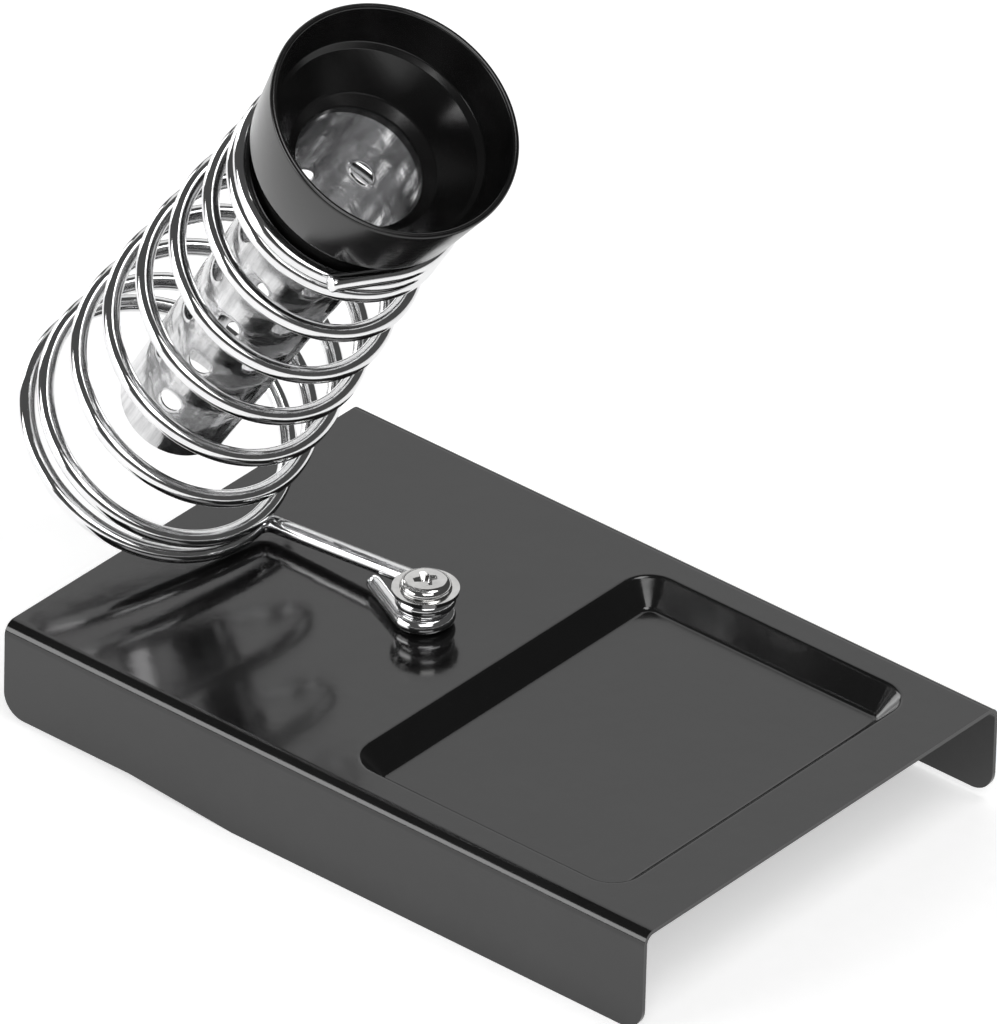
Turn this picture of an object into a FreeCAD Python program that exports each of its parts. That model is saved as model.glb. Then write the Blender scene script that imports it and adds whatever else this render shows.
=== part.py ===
"""Soldering iron stand: a pressed sheet-steel base with a sponge tray, a sprung wire
holder clamped to it by one screw, and a moulded funnel with a perforated inner tube.

Millimetres. +Z is up and z = 0 is the desk. The origin is the middle of the whole
stand's footprint, +X runs along the base towards the tray and -Y is the front.
"""
import FreeCAD, Part
import math
import os

import Sketcher

Vector = FreeCAD.Vector

# ------------------------------------------------------------------ driving dimensions

DIMENSIONS = [
    # pressed base
    ("base_centre", 14.6),
    ("base_length", 160.0),
    ("base_width", 106.0),
    ("base_height", 22.5),
    ("sheet_thickness", 0.9),
    ("fold_radius", 2.7),
    ("skirt_step", 2.0),
    ("skirt_step_start", 22.0),
    ("skirt_step_end", 48.0),
    ("skirt_corner_radius", 5.0),
    # sponge tray, drawn down into the base
    ("tray_length", 67.2),
    ("tray_width", 89.4),
    ("tray_centre", 32.7),
    ("tray_depth", 5.0),
    ("tray_corner_radius", 6.6),
    ("tray_draft", 43.0),
    ("tray_rim_radius", 1.3),
    ("tray_floor_radius", 1.5),
    # clamp screw and what is threaded on it
    ("screw_place_along", -5.8),
    ("screw_place_across", 1.65),
    ("screw_hole", 5.4),
    ("screw_shank", 4.9),
    ("screw_length", 16.0),
    ("screw_head", 10.3),
    ("screw_head_height", 1.9),
    ("screw_head_dome", 1.3),
    ("recess_span", 5.2),
    ("recess_slot", 1.1),
    ("recess_depth", 1.2),
    ("washer_outside", 13.2),
    ("washer_inside", 5.3),
    ("washer_thickness", 0.8),
    ("under_washer_outside", 10.0),
    ("under_washer_thickness", 1.0),
    ("lock_washer_outside", 9.2),
    ("lock_washer_inside", 5.1),
    ("lock_washer_thickness", 1.2),
    ("lock_washer_split", 0.8),
    ("nut_across_flats", 8.0),
    ("nut_height", 4.0),
    ("nut_bore", 5.0),
    ("nut_chamfer_depth", 0.5),
    # sprung wire
    ("wire_diameter", 3.5),
    ("eye_radius", 4.27),
    ("eye_clearance", 0.06),
    ("eye_tail_angle", 244.0),
    ("eye_tail_length", 13.5),
    ("eye_tail_opening", 0.6),
    ("elbow_setback", 2.8),
    ("coil_place_along", -71.6),
    ("coil_place_across", -2.3),
    ("coil_place_up", 39.55),
    ("coil_elevation", 56.3),
    ("coil_lean", -10.4),
    ("coil_start_angle", 17.1),
    ("coil_turns", 9.085),
    ("coil_foot_radius", 27.2),
    ("coil_taper", 0.79),
    ("coil_foot_pitch", 4.1),
    ("coil_open_pitch", 15.6),
    ("coil_top_pitch", 3.57),
    ("coil_open_from", 1.035),
    ("coil_open_to", 7.045),
    ("coil_taper_to", 7.0),
    ("coil_end_length", 13.5),
    # moulded funnel, measured from the bottom of its neck
    ("funnel_rim_height", 127.2),
    ("funnel_height", 34.0),
    ("funnel_rim_radius", 25.4),
    ("funnel_lip", 1.3),
    ("funnel_lip_round", 0.6),
    ("collar_height", 17.5),
    ("collar_foot_radius", 22.9),
    ("collar_foot_round", 1.0),
    ("neck_radius", 19.8),
    ("ledge_radius", 21.6),
    ("ledge_width", 1.2),
    ("ledge_depth", 8.5),
    ("ledge_drop", 1.0),
    ("floor_radius", 15.1),
    ("floor_depth", 17.0),
    ("throat_radius", 12.9),
    ("throat_depth", 18.8),
    ("tube_seat_radius", 13.45),
    ("tube_seat_depth", 21.0),
    # perforated inner tube
    ("tube_top_radius", 13.4),
    ("tube_end_radius", 11.4),
    ("tube_end_depth", 115.6),
    ("tube_wall", 0.5),
    ("tube_hole_radius", 2.6),
    ("tube_hole_first", 15.5),
    ("tube_hole_pitch", 15.8),
    ("tube_hole_stagger", 7.0),
    ("tube_hole_angle", -71.0),
    ("tube_seam_angle", 6.0),
    ("tube_seam_width_angle", 9.0),
    ("tube_seam_height", 0.35),
]

HOLES_AROUND = 8
LONG_ROWS = 5
SHORT_ROWS = 4
POINTS_PER_TURN = 16
WINDING_STEPS_PER_TURN = 240
EYE_STEP_DEGREES = 15.0
TAIL_SPREAD_DEGREES = 120.0
ELBOW_POINTS = 8
ARM_POINTS = 6
STRAIGHT_END_POINTS = 4
ARM_RUNS = 12
COIL_RUNS = 9
PITCH_BLEND_TURNS = 0.25

doc = FreeCAD.newDocument("soldering_iron_stand")


def make_sheet():
    """Puts every driving dimension in a spreadsheet, one alias to a cell."""
    sheet = doc.addObject("Spreadsheet::Sheet", "sizes")
    for row, (alias, value) in enumerate(DIMENSIONS, start=1):
        sheet.set("A%d" % row, alias)
        sheet.set("B%d" % row, str(value))
        sheet.setAlias("B%d" % row, alias)
    doc.recompute()
    return sheet


sizes = make_sheet()

# ------------------------------------------------------------------ modelling helpers


def bind(thing, **expressions):
    """Binds properties of an object to expressions over the spreadsheet."""
    for name, expression in expressions.items():
        thing.setExpression(name, expression)


def new_body(name):
    body = doc.addObject("PartDesign::Body", name)
    body.Label = name
    return body


def new_sketch(body, name, role, offset=None):
    """A sketch on one of the body's own origin planes, raised by an expression."""
    plane = [feature for feature in body.Origin.OriginFeatures if feature.Role == role][0]
    sketch = body.newObject("Sketcher::SketchObject", name)
    sketch.AttachmentSupport = [(plane, "")]
    sketch.MapMode = "FlatFace"
    if offset:
        sketch.setExpression("AttachmentOffset.Base.z", offset)
    return sketch


def draw_outline(sketch, corners):
    """A closed run of straight lines whose corners are pairs of expressions."""
    places = []
    for across, up in corners:
        here = Vector(sketch.evalExpression(across), sketch.evalExpression(up), 0)
        places.append(here)
    count = len(places)
    for index in range(count):
        line = Part.LineSegment(places[index], places[(index + 1) % count])
        sketch.addGeometry(line, False)
    for index in range(count):
        join = Sketcher.Constraint("Coincident", index, 2, (index + 1) % count, 1)
        sketch.addConstraint(join)
    for index, (across, up) in enumerate(corners):
        at = sketch.addConstraint(
            Sketcher.Constraint("DistanceX", -1, 1, index, 1, places[index].x))
        sketch.setExpression("Constraints[%d]" % at, across)
        at = sketch.addConstraint(
            Sketcher.Constraint("DistanceY", -1, 1, index, 1, places[index].y))
        sketch.setExpression("Constraints[%d]" % at, up)


def draw_circle(sketch, across, up, radius):
    """A circle whose centre and radius are expressions."""
    centre = Vector(sketch.evalExpression(across), sketch.evalExpression(up), 0)
    size = sketch.evalExpression(radius)
    circle = sketch.addGeometry(Part.Circle(centre, Vector(0, 0, 1), size), False)
    at = sketch.addConstraint(Sketcher.Constraint("DistanceX", -1, 1, circle, 3, centre.x))
    sketch.setExpression("Constraints[%d]" % at, across)
    at = sketch.addConstraint(Sketcher.Constraint("DistanceY", -1, 1, circle, 3, centre.y))
    sketch.setExpression("Constraints[%d]" % at, up)
    at = sketch.addConstraint(Sketcher.Constraint("Radius", circle, size))
    sketch.setExpression("Constraints[%d]" % at, radius)


def draw_rounded_rectangle(sketch, left, right, front, back, radius):
    """Four lines and four tangent arcs; the sides and the radius are expressions."""
    x0, x1 = sketch.evalExpression(left), sketch.evalExpression(right)
    y0, y1 = sketch.evalExpression(front), sketch.evalExpression(back)
    r = sketch.evalExpression(radius)
    normal = Vector(0, 0, 1)
    quarter = math.pi / 2
    runs = [
        (Vector(x0 + r, y0, 0), Vector(x1 - r, y0, 0)),
        (Vector(x1, y0 + r, 0), Vector(x1, y1 - r, 0)),
        (Vector(x1 - r, y1, 0), Vector(x0 + r, y1, 0)),
        (Vector(x0, y1 - r, 0), Vector(x0, y0 + r, 0)),
    ]
    centres = [
        Vector(x1 - r, y0 + r, 0),
        Vector(x1 - r, y1 - r, 0),
        Vector(x0 + r, y1 - r, 0),
        Vector(x0 + r, y0 + r, 0),
    ]
    for start, end in runs:
        sketch.addGeometry(Part.LineSegment(start, end), False)
    for corner, centre in enumerate(centres):
        circle = Part.Circle(centre, normal, r)
        arc = Part.ArcOfCircle(circle, (corner - 1) * quarter, corner * quarter)
        sketch.addGeometry(arc, False)
    for side in range(4):
        arc = 4 + side
        sketch.addConstraint(Sketcher.Constraint("Tangent", side, 2, arc, 1))
        sketch.addConstraint(Sketcher.Constraint("Tangent", arc, 2, (side + 1) % 4, 1))
    sketch.addConstraint(Sketcher.Constraint("Horizontal", 0))
    sketch.addConstraint(Sketcher.Constraint("Horizontal", 2))
    sketch.addConstraint(Sketcher.Constraint("Vertical", 1))
    sketch.addConstraint(Sketcher.Constraint("Vertical", 3))
    for arc in (5, 6, 7):
        sketch.addConstraint(Sketcher.Constraint("Equal", 4, arc))
    at = sketch.addConstraint(Sketcher.Constraint("Radius", 4, r))
    sketch.setExpression("Constraints[%d]" % at, radius)
    for kind, side, value, expression in (
            ("DistanceX", 3, x0, left), ("DistanceX", 1, x1, right),
            ("DistanceY", 0, y0, front), ("DistanceY", 2, y1, back)):
        at = sketch.addConstraint(Sketcher.Constraint(kind, -1, 1, side, 1, value))
        sketch.setExpression("Constraints[%d]" % at, expression)


def round_edges(body, name, radius, wanted):
    """Fillets those edges of the body's tip that the test picks out."""
    doc.recompute()
    tip = body.Tip
    names = []
    for number, edge in enumerate(tip.Shape.Edges, start=1):
        if wanted(edge):
            names.append("Edge%d" % number)
    if not names:
        raise RuntimeError("%s found no edge to round" % name)
    fillet = body.newObject("PartDesign::Fillet", name)
    fillet.Base = (tip, names)
    bind(fillet, Radius=radius)
    doc.recompute()
    return fillet


def must_remove(body, action, name):
    """Runs a cut and checks that it did take material away."""
    doc.recompute()
    before = body.Shape.Volume
    action()
    doc.recompute()
    if not body.Shape.Volume < before:
        raise RuntimeError("%s cut nothing" % name)


def pocket(body, sketch, name, length=None, reversed_cut=False, draft=None):
    """Cuts a sketch into its body, to a depth or right through one way."""
    def cut():
        feature = body.newObject("PartDesign::Pocket", name)
        feature.Profile = sketch
        feature.Reversed = reversed_cut
        if length:
            bind(feature, Length=length)
        else:
            feature.Type = "ThroughAll"
        if draft:
            bind(feature, TaperAngle=draft)
    must_remove(body, cut, name)


def revolve(body, sketch, name):
    """Turns an outline in the XZ plane once round the body's Z axis."""
    axis = [feature for feature in body.Origin.OriginFeatures if feature.Role == "Z_Axis"][0]
    feature = body.newObject("PartDesign::Revolution", name)
    feature.Profile = sketch
    feature.ReferenceAxis = (axis, [""])
    feature.Angle = 360.0
    doc.recompute()
    return feature


def place_on_screw(thing, height):
    """Stands an object on the clamp screw's axis at a height given by an expression."""
    thing.setExpression("Placement.Base.x", "sizes.screw_place_along")
    thing.setExpression("Placement.Base.y", "sizes.screw_place_across")
    thing.setExpression("Placement.Base.z", height)


# ------------------------------------------------------------------ heights in the clamp

PLATE_TOP = "sizes.base_height"
PLATE_UNDERSIDE = "(sizes.base_height - sizes.sheet_thickness)"
EYE_STACK = "(2 * sizes.wire_diameter + 3 * sizes.eye_clearance)"
WASHER_UNDERSIDE = "(%s + %s)" % (PLATE_TOP, EYE_STACK)
HEAD_UNDERSIDE = "(%s + sizes.washer_thickness)" % WASHER_UNDERSIDE
UNDER_WASHER_TOP = PLATE_UNDERSIDE
LOCK_WASHER_TOP = "(%s - sizes.under_washer_thickness)" % UNDER_WASHER_TOP
NUT_TOP = "(%s - sizes.lock_washer_thickness)" % LOCK_WASHER_TOP

# ------------------------------------------------------------------ pressed base


def make_base():
    """One sheet: top plate, two folded skirts and a tray drawn down near one end."""
    body = new_body("base_plate")
    half = "sizes.base_width / 2"
    inner = "(sizes.base_width / 2 - sizes.sheet_thickness)"

    section = new_sketch(body, "base_section", "YZ_Plane")
    draw_outline(section, [
        ("-" + half, "0"),
        ("-" + inner, "0"),
        ("-" + inner, PLATE_UNDERSIDE),
        (inner, PLATE_UNDERSIDE),
        (inner, "0"),
        (half, "0"),
        (half, PLATE_TOP),
        ("-" + half, PLATE_TOP),
    ])
    channel = body.newObject("PartDesign::Pad", "base_channel")
    channel.Profile = section
    channel.SideType = "Symmetric"
    bind(channel, Length="sizes.base_length")
    doc.recompute()

    width = sizes.base_width
    height = sizes.base_height
    thickness = sizes.sheet_thickness

    def along_fold(edge, y, z):
        """True for a straight edge along X at this distance from the middle and height."""
        box = edge.BoundBox
        level = abs(box.ZMin - z) < 1e-6 and abs(box.ZMax - z) < 1e-6
        aside = abs(abs(box.YMin) - y) < 1e-6 and abs(abs(box.YMax) - y) < 1e-6
        return level and aside and box.XLength > sizes.base_length / 2

    round_edges(body, "fold_outside", "sizes.fold_radius",
                lambda edge: along_fold(edge, width / 2, height))
    round_edges(body, "fold_inside", "sizes.fold_radius - sizes.sheet_thickness",
                lambda edge: along_fold(edge, width / 2 - thickness, height - thickness))

    for name, sign, way in (("front_skirt_step", "-", True), ("back_skirt_step", "", False)):
        step = new_sketch(body, name + "_outline", "XZ_Plane")
        end = "%s(sizes.base_length / 2 + 1)" % sign
        draw_outline(step, [
            (end, "-1"),
            (end, "sizes.skirt_step"),
            ("%ssizes.skirt_step_end" % sign, "sizes.skirt_step"),
            ("%ssizes.skirt_step_start" % sign, "0"),
            ("%ssizes.skirt_step_start" % sign, "-1"),
        ])
        pocket(body, step, name, reversed_cut=way)

    def skirt_corner(edge):
        """True for the short edges across the skirts' free corners."""
        box = edge.BoundBox
        at_end = abs(abs(box.XMin) - sizes.base_length / 2) < 1e-6 and box.XLength < 1e-6
        low = box.ZMax < 2 * sizes.skirt_step
        across = abs(box.YLength - thickness) < 1e-6 and box.ZLength < 1e-6
        return at_end and low and across

    round_edges(body, "skirt_corners", "sizes.skirt_corner_radius", skirt_corner)

    cup_wall = "sizes.sheet_thickness / cos(sizes.tray_draft)"
    left = "(sizes.tray_centre - sizes.tray_length / 2)"
    right = "(sizes.tray_centre + sizes.tray_length / 2)"
    side = "(sizes.tray_width / 2)"
    cup_outline = new_sketch(body, "tray_outside_outline", "XY_Plane", PLATE_TOP)
    draw_rounded_rectangle(
        cup_outline,
        "%s - %s" % (left, cup_wall), "%s + %s" % (right, cup_wall),
        "-%s - %s" % (side, cup_wall), "%s + %s" % (side, cup_wall),
        "sizes.tray_corner_radius + %s" % cup_wall)
    cup = body.newObject("PartDesign::Pad", "tray_outside")
    cup.Profile = cup_outline
    cup.Reversed = True
    bind(cup, Length="sizes.tray_depth + sizes.sheet_thickness",
         TaperAngle="-sizes.tray_draft")
    doc.recompute()

    bowl_outline = new_sketch(body, "tray_inside_outline", "XY_Plane", PLATE_TOP)
    draw_rounded_rectangle(bowl_outline, left, right, "-" + side, side,
                           "sizes.tray_corner_radius")
    pocket(body, bowl_outline, "tray_inside", length="sizes.tray_depth",
           draft="-sizes.tray_draft")

    def tray_loop(edge, z, grow):
        """True for an edge of a level loop at height z round the tray."""
        box = edge.BoundBox
        level = abs(box.ZMin - z) < 1e-5 and abs(box.ZMax - z) < 1e-5
        reach_x = sizes.tray_length / 2 + grow
        reach_y = sizes.tray_width / 2 + grow
        inside = (box.XMin > sizes.tray_centre - reach_x
                  and box.XMax < sizes.tray_centre + reach_x
                  and box.YMin > -reach_y and box.YMax < reach_y)
        return level and inside

    floor_height = height - sizes.tray_depth
    round_edges(body, "tray_rim", "sizes.tray_rim_radius",
                lambda edge: tray_loop(edge, height, 0.1))
    round_edges(body, "tray_floor", "sizes.tray_floor_radius",
                lambda edge: tray_loop(edge, floor_height, 0.1))
    round_edges(body, "tray_underside", "sizes.tray_floor_radius + sizes.sheet_thickness",
                lambda edge: tray_loop(edge, floor_height - thickness, 2.0))

    hole = new_sketch(body, "screw_hole_outline", "XY_Plane", PLATE_TOP)
    draw_circle(hole, "sizes.screw_place_along - sizes.base_centre",
                "sizes.screw_place_across", "sizes.screw_hole / 2")
    pocket(body, hole, "screw_hole_cut", length="2 * sizes.sheet_thickness")
    body.setExpression("Placement.Base.x", "sizes.base_centre")
    return body


# ------------------------------------------------------------------ clamp screw stack


def make_screw():
    """Pan-head machine screw with a cross recess, standing on its head's underside."""
    body = new_body("clamp_screw")
    outline = new_sketch(body, "screw_outline", "XZ_Plane")
    draw_outline(outline, [
        ("0", "-sizes.screw_length"),
        ("sizes.screw_shank / 2 - 0.5", "-sizes.screw_length"),
        ("sizes.screw_shank / 2", "-sizes.screw_length + 0.5"),
        ("sizes.screw_shank / 2", "0"),
        ("sizes.screw_head / 2", "0"),
        ("sizes.screw_head / 2", "sizes.screw_head_height"),
        ("0", "sizes.screw_head_height"),
    ])
    revolve(body, outline, "screw_turned")

    def head_rim(edge):
        box = edge.BoundBox
        wide = abs(box.XLength - sizes.screw_head) < 1e-6
        return wide and abs(box.ZMin - sizes.screw_head_height) < 1e-6

    round_edges(body, "screw_dome", "sizes.screw_head_dome", head_rim)

    cross = new_sketch(body, "recess_outline", "XY_Plane", "sizes.screw_head_height")
    long_half = "sizes.recess_span / 2"
    slot_half = "sizes.recess_slot / 2"
    draw_outline(cross, [
        (slot_half, slot_half), (slot_half, long_half),
        ("-" + slot_half, long_half), ("-" + slot_half, slot_half),
        ("-" + long_half, slot_half), ("-" + long_half, "-" + slot_half),
        ("-" + slot_half, "-" + slot_half), ("-" + slot_half, "-" + long_half),
        (slot_half, "-" + long_half), (slot_half, "-" + slot_half),
        (long_half, "-" + slot_half), (long_half, slot_half),
    ])
    pocket(body, cross, "cross_recess", length="sizes.recess_depth")
    place_on_screw(body, HEAD_UNDERSIDE)
    return body


def make_ring(name, outside, inside, thickness, top):
    """A flat washer: one cylinder with another cut out of it, hung from its top face."""
    disc = doc.addObject("Part::Cylinder", name + "_disc")
    bind(disc, Radius="%s / 2" % outside, Height=thickness)
    middle = doc.addObject("Part::Cylinder", name + "_middle")
    bind(middle, Radius="%s / 2" % inside, Height=thickness)
    ring = doc.addObject("Part::Cut", name)
    ring.Base = disc
    ring.Tool = middle
    ring.Label = name
    place_on_screw(ring, "%s - %s" % (top, thickness))
    return ring


def make_lock_washer():
    """A split spring washer, pressed flat between the plain washer and the nut."""
    name = "lock_washer"
    ring = make_ring(name + "_ring", "sizes.lock_washer_outside", "sizes.lock_washer_inside",
                     "sizes.lock_washer_thickness", LOCK_WASHER_TOP)
    split = doc.addObject("Part::Box", name + "_split")
    bind(split, Length="sizes.lock_washer_outside", Width="sizes.lock_washer_split",
         Height="sizes.lock_washer_thickness")
    place_on_screw(split, "%s - sizes.lock_washer_thickness" % LOCK_WASHER_TOP)
    washer = doc.addObject("Part::Cut", name)
    washer.Base = ring
    washer.Tool = split
    washer.Label = name
    return washer


def make_nut():
    """Hexagon nut with its upper and lower corners turned down."""
    body = new_body("clamp_nut")
    outline = new_sketch(body, "nut_outline", "XY_Plane")
    corner = "sizes.nut_across_flats / 2 / cos(30)"
    corners = []
    for number in range(6):
        corners.append(("%s * cos(%d)" % (corner, 60 * number),
                        "%s * sin(%d)" % (corner, 60 * number)))
    draw_outline(outline, corners)
    blank = body.newObject("PartDesign::Pad", "nut_blank")
    blank.Profile = outline
    bind(blank, Length="sizes.nut_height")
    doc.recompute()
    bore = new_sketch(body, "nut_bore_outline", "XY_Plane", "sizes.nut_height")
    draw_circle(bore, "0", "0", "sizes.nut_bore / 2")
    pocket(body, bore, "nut_bore_cut")

    far = "sizes.nut_across_flats"
    flat = "sizes.nut_across_flats / 2"
    for name, face, inward in (("upper", "sizes.nut_height", "-"), ("lower", "0", "+")):
        wedge = new_sketch(body, name + "_chamfer_outline", "XZ_Plane")
        draw_outline(wedge, [
            (flat, face),
            (far, face),
            (far, "%s %s sizes.nut_chamfer_depth * 3" % (face, inward)),
        ])

        def turn_down(wedge=wedge, name=name):
            axis = [item for item in body.Origin.OriginFeatures if item.Role == "Z_Axis"][0]
            groove = body.newObject("PartDesign::Groove", name + "_chamfer")
            groove.Profile = wedge
            groove.ReferenceAxis = (axis, [""])
            groove.Angle = 360.0
        must_remove(body, turn_down, name + " chamfer")
    place_on_screw(body, "%s - sizes.nut_height" % NUT_TOP)
    return body


# ------------------------------------------------------------------ sprung wire


def smooth_step(value, start, end):
    """0 before start, 1 after end and an even S between them."""
    share = min(max((value - start) / (end - start), 0.0), 1.0)
    return share * share * (3.0 - 2.0 * share)


def coil_pitch(turn):
    """Rise per turn: nearly closed at the foot, open in the middle, closed at the top."""
    blend = PITCH_BLEND_TURNS
    opened = smooth_step(turn, sizes.coil_open_from - blend, sizes.coil_open_from + blend)
    closed = smooth_step(turn, sizes.coil_open_to - blend, sizes.coil_open_to + blend)
    pitch = sizes.coil_foot_pitch
    pitch += (sizes.coil_open_pitch - sizes.coil_foot_pitch) * opened
    pitch += (sizes.coil_top_pitch - sizes.coil_open_pitch) * closed
    return pitch


def coil_radius(turn):
    """The coil narrows evenly up to the turns that grip the funnel's neck."""
    return sizes.coil_foot_radius - sizes.coil_taper * min(turn, sizes.coil_taper_to)


def holder_placement(height):
    """Frame on the coil's axis: Z along it, X towards its low side, at this height."""
    tilt = FreeCAD.Rotation(Vector(0, 1, 0), 90.0 - sizes.coil_elevation)
    lean = FreeCAD.Rotation(Vector(0, 0, 1), sizes.coil_lean)
    turn = lean.multiply(tilt)
    foot = Vector(sizes.coil_place_along, sizes.coil_place_across, sizes.coil_place_up)
    return FreeCAD.Placement(foot + turn.multVec(Vector(0, 0, height)), turn)


def wind_coil():
    """Centre line up the coil and along its straight end, with both end directions."""
    axis_frame = holder_placement(0.0)
    steps_between = WINDING_STEPS_PER_TURN // POINTS_PER_TURN
    last = int(round(sizes.coil_turns * WINDING_STEPS_PER_TURN))
    fine = []
    height = 0.0
    for step in range(last + 1):
        turn = step / WINDING_STEPS_PER_TURN
        angle = math.radians(sizes.coil_start_angle) - 2.0 * math.pi * turn
        radius = coil_radius(turn)
        local = Vector(radius * math.cos(angle), radius * math.sin(angle), height)
        fine.append(axis_frame.multVec(local))
        height += coil_pitch(turn) / WINDING_STEPS_PER_TURN
    points = fine[:last:steps_between] + [fine[last]]
    if (points[-1] - points[-2]).Length < sizes.wire_diameter:
        del points[-2]
    start_direction = (fine[1] - fine[0]).normalize()
    end_direction = (fine[last] - fine[last - 1]).normalize()
    for number in range(1, STRAIGHT_END_POINTS + 1):
        along = sizes.coil_end_length * number / STRAIGHT_END_POINTS
        points.append(fine[last] + end_direction * along)
    return points, start_direction, end_direction


def eye_radius(turned):
    """The eye's radius so many degrees on from the tail, where it is sprung open a little."""
    return sizes.eye_radius + sizes.eye_tail_opening * (1.0 - smooth_step(turned, 0.0, TAIL_SPREAD_DEGREES))


def bend_arm(coil_start, leave):
    """Centre line from the cut tail, twice round the screw, along the arm to the coil."""
    corner = coil_start - leave * sizes.elbow_setback
    low = sizes.base_height + sizes.eye_clearance + sizes.wire_diameter / 2
    rise = sizes.wire_diameter + sizes.eye_clearance
    screw = Vector(sizes.screw_place_along, sizes.screw_place_across, 0)

    to_corner = Vector(corner.x, corner.y, 0) - screw
    bearing = math.degrees(math.atan2(to_corner.y, to_corner.x))
    spread = math.degrees(math.acos(sizes.eye_radius / to_corner.Length))
    leave_angle = bearing - spread
    while leave_angle < sizes.eye_tail_angle + 360.0:
        leave_angle += 360.0
    first = sizes.eye_tail_angle

    points = []
    heading = math.radians(first + 90.0)
    tail_start = screw + Vector(math.cos(math.radians(first)),
                                math.sin(math.radians(first)), 0) * eye_radius(0.0)
    for share in (1.0, 0.66, 0.33):
        back = Vector(math.cos(heading), math.sin(heading), 0) * -sizes.eye_tail_length * share
        lift = 0.5 * share * share
        points.append(tail_start + back + Vector(0, 0, low + lift))
    rounds = int(round((leave_angle - first) / EYE_STEP_DEGREES))
    for number in range(rounds + 1):
        angle = first + (leave_angle - first) * number / rounds
        across = Vector(math.cos(math.radians(angle)), math.sin(math.radians(angle)), 0)
        lift = rise * smooth_step(angle, leave_angle - 360.0, first + 360.0)
        points.append(screw + across * eye_radius(angle - first) + Vector(0, 0, low + lift))

    off = points[-1]
    arrive = (corner - off).normalize()
    turn = arrive.getAngle(leave)
    bend_radius = sizes.elbow_setback / math.tan(turn / 2.0)
    bend_start = corner - arrive * sizes.elbow_setback
    for number in range(1, ARM_POINTS):
        points.append(off + (bend_start - off) * (number / ARM_POINTS))
    inward = (leave - arrive * leave.dot(arrive)).normalize()
    for number in range(ELBOW_POINTS + 1):
        bent = turn * number / ELBOW_POINTS
        points.append(bend_start + arrive * (bend_radius * math.sin(bent))
                      + inward * (bend_radius * (1.0 - math.cos(bent))))
    return points


def make_wire(name, points, start_direction, end_direction, runs):
    """A round wire swept along one smooth curve, which is cut into runs end to end."""
    curve = Part.BSplineCurve()
    curve.interpolate(Points=points, InitialTangent=start_direction,
                      FinalTangent=end_direction, Scale=False)
    first = curve.FirstParameter
    span = curve.LastParameter - first
    edges = []
    for number in range(runs):
        edges.append(Part.Edge(curve, first + span * number / runs,
                               first + span * (number + 1) / runs))
    line = doc.addObject("Part::Feature", name + "_line")
    line.Shape = Part.Wire(edges)
    section = doc.addObject("Part::Circle", name + "_section")
    bind(section, Radius="sizes.wire_diameter / 2")
    facing = FreeCAD.Rotation(Vector(0, 0, 1), start_direction)
    section.Placement = FreeCAD.Placement(points[0], facing)
    wire = doc.addObject("Part::Sweep", name)
    wire.Sections = [section]
    wire.Spine = (line, ["Edge%d" % (number + 1) for number in range(runs)])
    wire.Solid = True
    wire.Frenet = False
    wire.Label = name
    doc.recompute()
    expected = math.pi * (sizes.wire_diameter / 2) ** 2 * curve.length()
    if abs(wire.Shape.Volume / expected - 1.0) > 0.01:
        raise RuntimeError("%s has volume %.1f, not %.1f" % (name, wire.Shape.Volume, expected))
    return wire


def make_holder_wire():
    """The one wire in two nodes that meet face to face at the elbow."""
    up_the_coil, leave, coil_end = wind_coil()
    along_the_arm = bend_arm(up_the_coil[0], leave)
    arm_start = (along_the_arm[1] - along_the_arm[0]).normalize()
    arm = make_wire("wire_arm", along_the_arm, arm_start, leave, ARM_RUNS)
    coil = make_wire("wire_coil", up_the_coil, leave, coil_end, COIL_RUNS)
    return [arm, coil]


# ------------------------------------------------------------------ funnel and tube


def make_funnel():
    """Moulded mouth: flared collar, stepped bowl, throat, and the neck the coil grips."""
    body = new_body("funnel")
    outline = new_sketch(body, "funnel_outline", "XZ_Plane")
    rim = "sizes.funnel_height"
    draw_outline(outline, [
        ("sizes.tube_seat_radius", "0"),
        ("sizes.neck_radius", "0"),
        ("sizes.neck_radius", "%s - sizes.collar_height" % rim),
        ("sizes.collar_foot_radius", "%s - sizes.collar_height" % rim),
        ("sizes.funnel_rim_radius", rim),
        ("sizes.funnel_rim_radius - sizes.funnel_lip", rim),
        ("sizes.ledge_radius", "%s - sizes.ledge_depth" % rim),
        ("sizes.ledge_radius - sizes.ledge_width",
         "%s - sizes.ledge_depth - sizes.ledge_drop" % rim),
        ("sizes.floor_radius", "%s - sizes.floor_depth" % rim),
        ("sizes.throat_radius", "%s - sizes.throat_depth" % rim),
        ("sizes.throat_radius", "%s - sizes.tube_seat_depth" % rim),
        ("sizes.tube_seat_radius", "%s - sizes.tube_seat_depth" % rim),
    ])
    revolve(body, outline, "funnel_turned")

    def circle_at(edge, radius, height):
        box = edge.BoundBox
        wide = abs(box.XLength - 2 * radius) < 1e-5
        return wide and abs(box.ZMin - height) < 1e-5 and abs(box.ZMax - height) < 1e-5

    top = sizes.funnel_height
    round_edges(
        body, "funnel_lip_edges", "sizes.funnel_lip_round",
        lambda edge: circle_at(edge, sizes.funnel_rim_radius, top)
        or circle_at(edge, sizes.funnel_rim_radius - sizes.funnel_lip, top))
    round_edges(
        body, "collar_foot_edge", "sizes.collar_foot_round",
        lambda edge: circle_at(edge, sizes.collar_foot_radius, top - sizes.collar_height))
    body.Placement = holder_placement(sizes.funnel_rim_height - sizes.funnel_height)
    return body


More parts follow.
